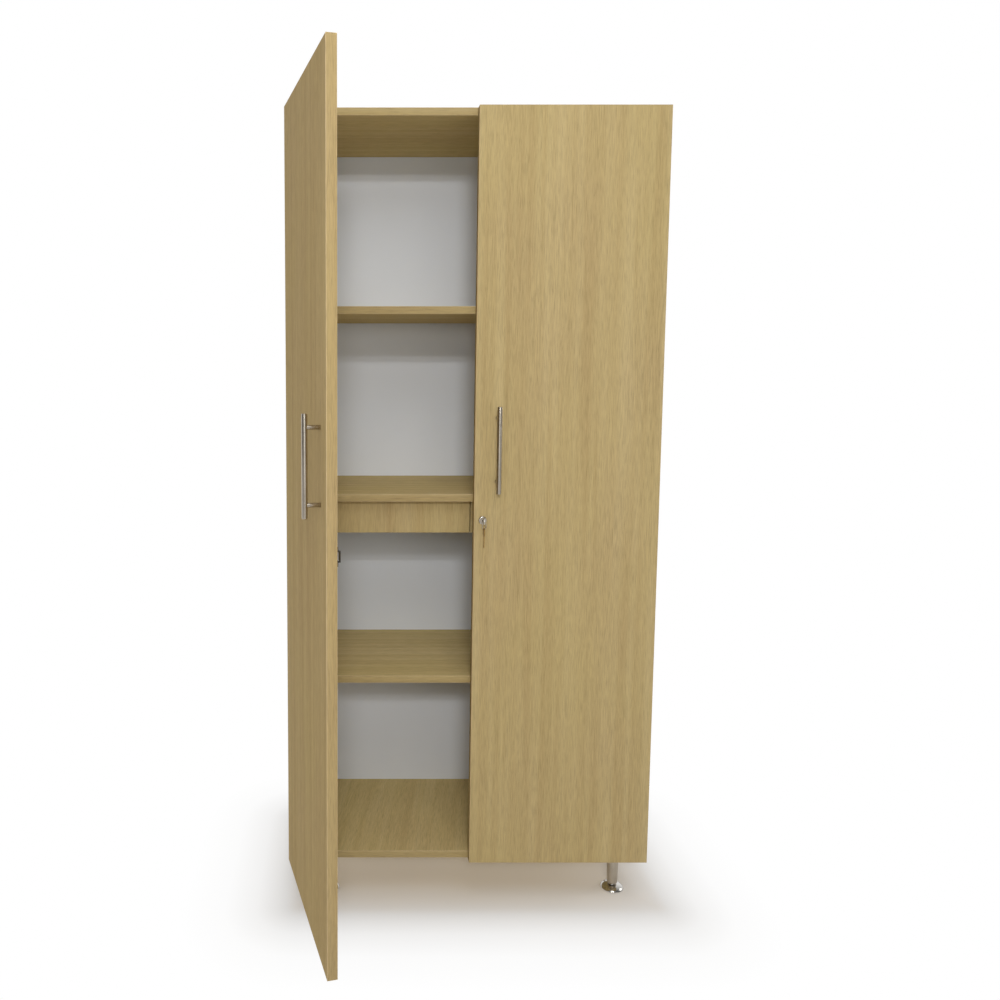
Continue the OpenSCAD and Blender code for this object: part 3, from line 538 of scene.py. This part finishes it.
def addBand(bm, low, high, outward, finish):
    # outward is the axis and sign that the band's open face looks along
    verts = addBlock(bm, low, high)
    axis, sign = outward
    faceAt = max(sign * v.co[axis] for v in verts)
    edges = {e for v in verts for e in v.link_edges}
    outer = [e for e in edges if all(abs(sign * v.co[axis] - faceAt) < 1e-6 for v in e.verts)]
    for face in {f for v in verts for f in v.link_faces}:
        face.material_index = finish
    bevelEdges(bm, outer, bandShape["round"], bandShape["segments"])
    bm.normal_update()
    # the rounding's faces take the painted highlight
    for face in bm.faces:
        if max(abs(c) for c in face.normal) < bandShape["square"]:
            face.material_index = paintedHighlight


print("banding the edges")
bm = bmesh.new()
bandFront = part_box("carcass_edge_bands")[0].y
for board, finish in bandedBoards.items():
    low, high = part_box(board)
    addBand(bm, (low.x, bandFront, low.z), (high.x, low.y, high.z), (1, -1), finish)
finishPiece(bm, "carcassEdgeBands", "carcass", bandMaterials,
            ["carcass_edge_bands"])


# doors

doorRound = 0.2 * mm
leftHinge = next(j for j in frame["joints"] if j["name"] == "left_door_hinge")
leftDoor = {
    "open": -leftHinge["range_deg"][0],
    "pivot": Vector((*leftHinge["pos_m"][:2], 0)),
}


def toLeftDoor(bm):
    # takes what was drawn on the shut right door to the open left one
    bmesh.ops.scale(bm, vec=(-1, 1, 1), verts=bm.verts)
    turn = Matrix.Rotation(math.radians(-leftDoor["open"]), 4, "Z")
    swing = (Matrix.Translation(leftDoor["pivot"]) @ turn
             @ Matrix.Translation(-leftDoor["pivot"]))
    bmesh.ops.transform(bm, matrix=swing, verts=bm.verts)


def doorBands():
    bm = bmesh.new()
    t = bandShape["thickness"]
    low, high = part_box("right_door_edge_bands")
    faceY, innerY = low.y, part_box("right_door")[1].y
    for x, sign in ((low.x, -1), (high.x - t, 1)):
        addBand(bm, (x, faceY, low.z), (x + t, innerY, high.z), (0, sign), upright)
    for z, sign in ((low.z, -1), (high.z - t, 1)):
        addBand(bm, (low.x + t, faceY, z), (high.x - t, innerY, z + t), (2, sign), level)
    return bm


print("finishing the doors")
softCopy("right_door", "oak", oakRightDoor, doorRound, boardEdges["shortest"])
softCopy("left_door", "oak", oakLeftDoor, doorRound, boardEdges["shortest"])
finishPiece(doorBands(), "rightDoorEdgeBands", "right_door",
            bandMaterials, ["right_door_edge_bands"])
bm = doorBands()
toLeftDoor(bm)
finishPiece(bm, "leftDoorEdgeBands", "left_door",
            bandMaterials, ["left_door_edge_bands"])


# handles

handleShape = {
    "endRound": 1.6 * mm,
    "endAngles": (0, 22.5, 45, 67.5, 90),
    "steps": 48,
    "postRound": 0.25 * mm,
    "postShortest": 0.2 * mm,
}


def handleBar():
    low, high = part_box("right_handle_bar")
    radius = (high.x - low.x) / 2
    length = high.z - low.z
    end = handleShape["endRound"]
    corner = [(radius - end + end * math.sin(math.radians(a)),
               end - end * math.cos(math.radians(a))) for a in handleShape["endAngles"]]
    profile = ([(0, 0)] + corner
               + [(r, length - h) for r, h in reversed(corner)] + [(0, length)])
    middle = middleOf(low, high)
    bm = bmesh.new()
    addTurned(bm, profile, (middle.x, middle.y, low.z), handleShape["steps"])
    return bm


print("making the handles")
finishPiece(handleBar(), "rightHandleBar", "right_door", [brushedSteel],
            ["right_handle_bar"])
bm = handleBar()
toLeftDoor(bm)
finishPiece(bm, "leftHandleBar", "left_door", [brushedSteel], ["left_handle_bar"])
for side in ("left", "right"):
    softCopy(f"{side}_handle_posts", "chrome", brushedSteel, handleShape["postRound"],
             handleShape["postShortest"])


# legs and feet

legShape = {
    "topRadius": 16.5 * mm,
    "bottomRadius": 13.0 * mm,
    "rimRound": 1.2 * mm,
    "rimCurve": ((1, 0), (0.3, 0.3), (0, 1)),      # shares of rimRound, in and up
    "weld": 2.2 * mm,
    "weldCurve": ((0, 1), (0.3, 0.35), (1, 0)),    # shares of weld, out and down
    "neck": 0.1 * mm,                              # how much slimmer it is under the weld
    # radius and height above the lower end, of the hole for the foot's stem
    "bore": ((5.1 * mm, 30 * mm), (5.1 * mm, 0.6 * mm), (5.8 * mm, 0)),
    "steps": 64,
    "plateRound": 0.4 * mm,
    "plateShortest": 1 * mm,
}
footShape = {
    # radius and height in millimetres
    "pad": ((0, 0), (26.3, 0), (26.9, 0.4), (27.1, 1.2)),
    "dome": ((28.6, 1.2), (29.0, 1.8), (28.9, 2.8), (28.1, 4.2), (26.1, 6.0), (23.0, 7.9),
             (19.3, 9.4), (15.4, 10.5), (12.3, 11.0), (9.6, 11.1), (8.6, 11.4), (8.2, 12.2),
             (8.1, 14.6), (7.6, 15.0), (5.0, 15.0)),
    "stem": ((5.0, 63), (0, 63)),
    "steps": 96,
}
footNodes = ("foot_front_left", "foot_front_right", "foot_rear_left", "foot_rear_right")


def footCentre(node):
    low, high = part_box(node)
    middle = middleOf(low, high)
    return Vector((middle.x, middle.y, low.z))


def legProfile(low, high):
    top, bottom = legShape["topRadius"], legShape["bottomRadius"]
    rim, weld = legShape["rimRound"], legShape["weld"]
    return ([(r, low + h) for r, h in legShape["bore"]]
            + [(bottom - rim * r, low + rim * h) for r, h in legShape["rimCurve"]]
            + [(top - legShape["neck"], high - 2 * weld)]
            + [(top + weld * r, high - weld * h) for r, h in legShape["weldCurve"]]
            + [(0, high)])


print("turning the legs and feet")
legLow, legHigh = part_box("legs")
bm = bmesh.new()
for node in footNodes:
    centre = footCentre(node)
    addTurned(bm, legProfile(legLow.z, legHigh.z), (centre.x, centre.y, 0),
              legShape["steps"])
finishPiece(bm, "tableLegs", "carcass", [satinNickel], ["legs"])
softCopy("leg_plates", "satin_nickel", satinNickel, legShape["plateRound"],
         legShape["plateShortest"])

for node in footNodes:
    pad, dome, stem = ([(r * mm, h * mm) for r, h in footShape[part]]
                       for part in ("pad", "dome", "stem"))
    bm = bmesh.new()
    addTurned(bm, pad[-1:] + dome + stem, footCentre(node), footShape["steps"])
    metal = set(bm.faces)
    addTurned(bm, pad, footCentre(node), footShape["steps"])
    for face in set(bm.faces) - metal:
        face.material_index = 1
    finishPiece(bm, pieceName(node), node, [chrome, rubber], [node])


# lock, keys and ring

lockShape = {
    "barrel": 16.2 * mm,      # diameter
    # outer face of the rosette, as radius and height above the door in millimetres
    "rosette": ((10.0, 0.0), (10.0, 0.5), (9.8, 1.1), (9.3, 1.7), (8.8, 2.1), (8.2, 2.35),
                (7.6, 2.4)),
    "innerHeight": 2.1 * mm,
    "steps": 96,
}
lockParts = {
    "lock_plug": ("satin_nickel", satinNickel, 0.2 * mm, 0.2 * mm),
    "lock_case": ("satin_nickel", satinNickel, 0.4 * mm, 4 * mm),
    "lock_bolt": ("zinc", zincPlate, 0.2 * mm, 1 * mm),
    # the keeper's near-black finish is painted shade
    "lock_keeper": ("zinc", darkSteelPaintedShade, 0.2 * mm, 1 * mm),
}
keyShape = {
    "hole": 3.0 * mm,                         # radius
    "holeInset": 4.5 * mm,
    "steps": 72,
    "rim": 0.35 * mm,
    "rimSegments": 3,
    "rimAngle": 60,
    "bladeThick": 0.90,                       # share of the bow's thickness
    "bladeHalf": 2.9 * mm,
    "bladeOverlap": 1.2 * mm,
    "cuts": (0, 0, 1.3, 0.4, 1.9, 0.9, 2.3, 0.7, 1.6, 0.5, 1.1),      # in millimetres
    "tip": 0.45,
    "groove": (1.0 * mm, 0.28 * mm),          # width left beside it, and depth
}


def addBow(bm, radius, thick):
    # a disc with a hole, standing across the x axis
    look = keyShape
    outer = bmesh.ops.create_circle(bm, radius=radius, segments=look["steps"])["verts"]
    hole = bmesh.ops.create_circle(bm, radius=look["hole"], segments=look["steps"])["verts"]
    bmesh.ops.translate(bm, vec=(0, radius - look["holeInset"], 0), verts=hole)
    rings = list({e for v in outer + hole for e in v.link_edges})
    flat = bmesh.ops.bridge_loops(bm, edges=rings)["faces"]
    raised = bmesh.ops.extrude_face_region(bm, geom=flat)["geom"]
    top = [v for v in raised if isinstance(v, bmesh.types.BMVert)]
    bmesh.ops.translate(bm, vec=(0, 0, thick), verts=top)
    bmesh.ops.translate(bm, vec=(0, 0, -thick / 2), verts=bm.verts)
    bmesh.ops.recalc_face_normals(bm, faces=bm.faces)
    corners = [e for e in bm.edges if len(e.link_faces) == 2
               and e.calc_face_angle() > math.radians(look["rimAngle"])]
    bevelEdges(bm, corners, look["rim"], look["rimSegments"])
    # lying flat so far: its flat sides turn from z to x, and its top from y to z
    turn = Matrix(((0, 0, 1), (1, 0, 0), (0, 1, 0))).to_4x4()
    bmesh.ops.transform(bm, matrix=turn, verts=bm.verts)


def addBlade(bm, radius, bladeLength, thick):
    # cut across at each tooth, then its one edge is drawn in
    look = keyShape
    half, side = look["bladeHalf"], thick / 2 * look["bladeThick"]
    known = set(bm.verts)
    low, high = -radius - bladeLength, -radius + look["bladeOverlap"]
    addBlock(bm, (-side, -half, low), (side, half, high))
    count = len(look["cuts"])
    for i in range(1, count + 1):
        blade = set(bm.verts) - known
        parts = list(blade) + list({e for v in blade for e in v.link_edges}) + list(
            {f for v in blade for f in v.link_faces})
        bmesh.ops.bisect_plane(bm, geom=parts, dist=1e-7, plane_no=(0, 0, 1),
                               plane_co=(0, 0, high + (low - high) * i / (count + 1)))
    blade = set(bm.verts) - known
    for vert in blade:
        i = round((vert.co.z - high) / (low - high) * (count + 1))
        if vert.co.y > 0 and 1 <= i <= count:
            vert.co.y -= look["cuts"][i - 1] * mm
        elif i == count + 1:
            vert.co.y *= look["tip"]
    # a shallow groove down each broad side
    broad = [f for f in {f for v in blade for f in v.link_faces} if abs(f.normal.x) > 0.9]
    width, depth = look["groove"]
    for sign in (-1, 1):
        face = [f for f in broad if f.normal.x * sign > 0]
        bmesh.ops.inset_region(bm, faces=face, thickness=width, depth=-depth,
                               use_even_offset=True)


def keyMesh(radius, bladeLength, thick):
    # drawn hanging down: the bow's middle at the origin, the flat sides across x
    bm = bmesh.new()
    addBow(bm, radius, thick)
    addBlade(bm, radius, bladeLength, thick)
    return bm


print("turning the rosette")
rosetteLow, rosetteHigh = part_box("lock_rosette")
lockCentre = middleOf(rosetteLow, rosetteHigh)
lockCentre.y = rosetteHigh.y
bore = lockShape["barrel"] / 2
rosette = [(r * mm, h * mm) for r, h in lockShape["rosette"]]
rosette += [(bore, lockShape["innerHeight"]), (bore, 0), rosette[0]]
bm = bmesh.new()
addTurned(bm, rosette, lockCentre, lockShape["steps"], (0, -1, 0))
finishPiece(bm, "lockRosette", "right_door", [chrome], ["lock_rosette"])
softCopies(lockParts)
dress(chrome, "key_ring")

print("cutting the keys")
low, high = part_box("key")
middle = middleOf(low, high)
bowRadius = (high.z - low.z) / 2
bm = keyMesh(bowRadius, high.y - low.y - 2 * bowRadius, high.x - low.x)
turned = Matrix.Rotation(math.radians(90), 4, "X")
placed = Matrix.Translation((middle.x, low.y + bowRadius, middle.z)) @ turned
bmesh.ops.transform(bm, matrix=placed, verts=bm.verts)
finishPiece(bm, "key", "lock_plug", [keySteel], ["key"])
low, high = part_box("spare_key")
middle = middleOf(low, high)
bm = keyMesh(bowRadius, high.z - low.z - 2 * bowRadius, high.x - low.x)
bmesh.ops.translate(bm, vec=(middle.x, middle.y, high.z - bowRadius), verts=bm.verts)
finishPiece(bm, "spareKey", "key_ring", [brass], ["spare_key"])


# hinges

hingeParts = {
    "hinge_cups": ("satin_nickel", satinNickel, 0.25 * mm, 0.5 * mm),
    "hinge_arms": ("satin_nickel", satinNickel, 0.3 * mm, 1 * mm),
    "hinge_plates": ("zinc", zincPlate, 0.3 * mm, 1 * mm),
}

print("finishing the hinges")
for side in ("left", "right"):
    softCopies({f"{side}_{part}": look for part, look in hingeParts.items()})
    dress(zincPlate, f"{side}_hinge_pins", f"{side}_cup_screws", f"{side}_plate_screws",
          f"{side}_handle_screws")


# drawer, runners and small parts

drawerParts = {
    "drawer_front": ("oak", oakDrawer, 0.8 * mm, boardEdges["shortest"], 3),
    "drawer_sides": ("oak", oakDeep, 0.5 * mm, boardEdges["shortest"]),
    "drawer_back": ("oak", oakBoardsPaintedLight, 0.5 * mm, boardEdges["shortest"]),
    "runner_fixed_members": ("zinc", zincPlate, 0.25 * mm, 3 * mm),
    "runner_drawer_members": ("zinc", zincPlate, 0.25 * mm, 3 * mm),
}

print("finishing the drawer")
softCopies(drawerParts)
dress(whiteBoard, "drawer_bottom")
dress(zincPlate, "runner_ball_cages", "runner_screws", "carcass_screws", "leg_screws",
      "keeper_screws", "lock_screws")
dress(satinNickel, "shelf_pins")
dress(beech, "carcass_dowels")


# floor, world and lamps

stageLook = {
    "floorSize": 60,
    "floorColour": (0.755, 0.735, 0.710),
    "floorRoughness": 0.6,
    "floorSpecular": 0.2,
    "footprintMiddle": (0.025, 0.22, 0),
    "footprintHalf": (0.45, 0.21, 0),
    # how much of the floor's own glow shows at a distance outside the footprint; the weaker
    # glow near and under the cupboard is a painted shadow
    "glow": [(-0.20, 0.10), (-0.05, 0.12), (0.01, 0.24), (0.06, 0.53), (0.11, 0.76),
             (0.19, 0.94), (0.30, 1.0)],
    # warm colour of the glow near the cupboard: painted warm shade
    "paintedWarmShadeTint": [(0.20, (1.0, 0.74, 0.46)), (0.47, (1.0, 1.0, 1.0))],
    "skyStrength": 0.42,
    # what metal mirrors: the dimmer room in front, and how far back it fades to white
    "roomInFront": 0.14,
    "floorFade": (-1.0, 1.5),
    "skyFade": (-0.2, 0.7),
}


def distanceOutside(tree, place):
    # distance outside the cupboard's footprint, negative under it
    centred = addVectorMath(tree, "SUBTRACT", place, stageLook["footprintMiddle"])
    spread = addVectorMath(tree, "ABSOLUTE", centred)
    beyond = addVectorMath(tree, "SUBTRACT", spread, stageLook["footprintHalf"])
    away = addVectorMath(tree, "LENGTH", addVectorMath(tree, "MAXIMUM", beyond))
    sides = addNode(tree, "ShaderNodeSeparateXYZ", inputs={0: beyond})
    nearest = addMath(tree, "MAXIMUM", sides.outputs["X"], sides.outputs["Y"])
    return addMath(tree, "ADD", away, addMath(tree, "MINIMUM", nearest))


def floorMaterial():
    # takes real shadows near the cupboard, darkened further there by a painted shadow of
    # weaker glow, and fades into the white backdrop away from it
    look = stageLook
    material, tree, shader, place = startMaterial("floorPale")
    setInputs(tree, shader, {
        "Base Color": (*look["floorColour"], 1), "Roughness": look["floorRoughness"],
        "Specular IOR Level": look["floorSpecular"]})
    near, far = look["glow"][0][0], look["glow"][-1][0]
    # the glow fades near and under the cupboard, a painted shadow, and is tinted warm there
    reach = addRange(tree, distanceOutside(tree, place), (near, far), (0, 1))
    glow = addRamp(tree, reach, [((d - near) / (far - near), g) for d, g in look["glow"]])
    tint = addRamp(tree, reach, look["paintedWarmShadeTint"])
    back = addNode(tree, "ShaderNodeSeparateXYZ", inputs={0: place}).outputs["Y"]
    mirrored = addRange(tree, back, look["floorFade"], (look["roomInFront"], 1.0))
    rays = addNode(tree, "ShaderNodeLightPath")
    shiny = addMath(tree, "MULTIPLY", rays.outputs["Is Glossy Ray"], mirrored)
    seen = addMath(tree, "MAXIMUM", rays.outputs["Is Camera Ray"], shiny)
    white = addNode(tree, "ShaderNodeEmission", inputs={"Color": tint, "Strength": 1.0})
    mix = addNode(tree, "ShaderNodeMixShader", inputs={
        0: addMath(tree, "MULTIPLY", seen, glow), 1: shader.outputs[0], 2: white.outputs[0]})
    tree.links.new(mix.outputs[0], tree.nodes["Material Output"].inputs["Surface"])
    return material


def paintWorld(world):
    # white to the camera, and dim as a source of light
    look = stageLook
    world.use_nodes = True
    tree = world.node_tree
    facing = addNode(tree, "ShaderNodeSeparateXYZ", inputs={
        0: addNode(tree, "ShaderNodeTexCoord").outputs["Generated"]}).outputs["Y"]
    mirrored = addRange(tree, facing, look["skyFade"], (look["roomInFront"], 1.0))
    rays = addNode(tree, "ShaderNodeLightPath")
    light = addRange(tree, rays.outputs["Is Glossy Ray"], (0, 1),
                     (look["skyStrength"], mirrored))
    setInputs(tree, tree.nodes["Background"], {
        "Color": (1, 1, 1, 1),
        "Strength": addMath(tree, "MAXIMUM", rays.outputs["Is Camera Ray"], light)})
    world.cycles.sampling_method = "NONE"


print("laying the floor")
bm = bmesh.new()
bmesh.ops.create_grid(bm, x_segments=1, y_segments=1, size=stageLook["floorSize"] / 2)
floorMesh = bpy.data.meshes.new("floor")
bm.to_mesh(floorMesh)
bm.free()
floorMesh.materials.append(floorMaterial())
floor = bpy.data.objects.new("floor", floorMesh)
bpy.context.scene.collection.objects.link(floor)

# a lamp for boards only isn't mirrored in metal, and one for metal only lights nothing else
lamps = {
    "keyUpper": {"place": (-0.28, -4.0, 2.65), "aim": (0, 0, 1.1), "size": (0.5, 0.07),
                 "power": 19.1},
    "keyLower": {"place": (-0.28, -4.0, 2.46), "aim": (0, 0, 1.1), "size": (0.5, 0.07),
                 "power": 13.8},
    "keySide": {"place": (-0.62, -4.0, 2.6), "aim": (0, 0, 1.1), "size": (0.1, 0.3),
                "power": 4.7},
    "leftFront": {"place": (-1.3, -4.0, 2.55), "aim": (0, 0, 1.1), "size": (1.2, 0.3),
                  "power": 7.8, "only": "boards"},
    "rightFront": {"place": (0.9, -3.5, 0.9), "aim": (0, 0, 1.0), "size": (2.0, 1.6),
                   "power": 4.6},
    "rightGlint": {"place": (0.9, -3.5, 0.9), "aim": (0, 0, 1.0), "size": (2.0, 1.6),
                   "power": 11, "only": "metal"},
    "frontGlint": {"place": (-0.3, -2.7, 1.5), "aim": (0, 0, 1.1), "size": (1.6, 1.6),
                   "power": 6, "only": "metal"},
    "nearLamp": {"place": (-0.31, -2.1, 1.55), "aim": (0, 0, 1.1), "size": (0.3, 0.3),
                 "power": 6.0, "only": "boards"},
    "highFill": {"place": (0.0, -1.9, 3.1), "aim": (0, 0, 1.1), "size": (1.4, 1.4),
                 "power": 18.0},
    "leftFill": {"place": (-3.0, -1.5, 1.6), "aim": (-0.4, -0.2, 1.0), "size": (3.6, 3.0),
                 "power": 15.2, "only": "boards"},
    "rightFill": {"place": (3.0, 0.4, 1.6), "aim": (0.4, 0.2, 1.0), "size": (1.5, 1.5),
                  "power": 14},
    "backFill": {"place": (0.0, 4.0, 2.2), "aim": (0, 0.4, 1.0), "size": (1.5, 1.5),
                 "power": 34},
}

print("lighting the room")
bpy.context.scene.world = bpy.data.worlds.new("world")
paintWorld(bpy.context.scene.world)
for name, lamp in lamps.items():
    lampData = bpy.data.lights.new(name, "AREA")
    lampData.shape = "RECTANGLE"
    lampData.size, lampData.size_y = lamp["size"]
    lampData.energy = lamp["power"]
    lampObject = bpy.data.objects.new(name, lampData)
    lampObject.visible_glossy = lamp.get("only") != "boards"
    lampObject.visible_diffuse = lamp.get("only") != "metal"
    lampObject.location = lamp["place"]
    direction = Vector(lamp["aim"]) - Vector(lamp["place"])
    lampObject.rotation_euler = direction.to_track_quat("-Z", "Y").to_euler()
    bpy.context.scene.collection.objects.link(lampObject)
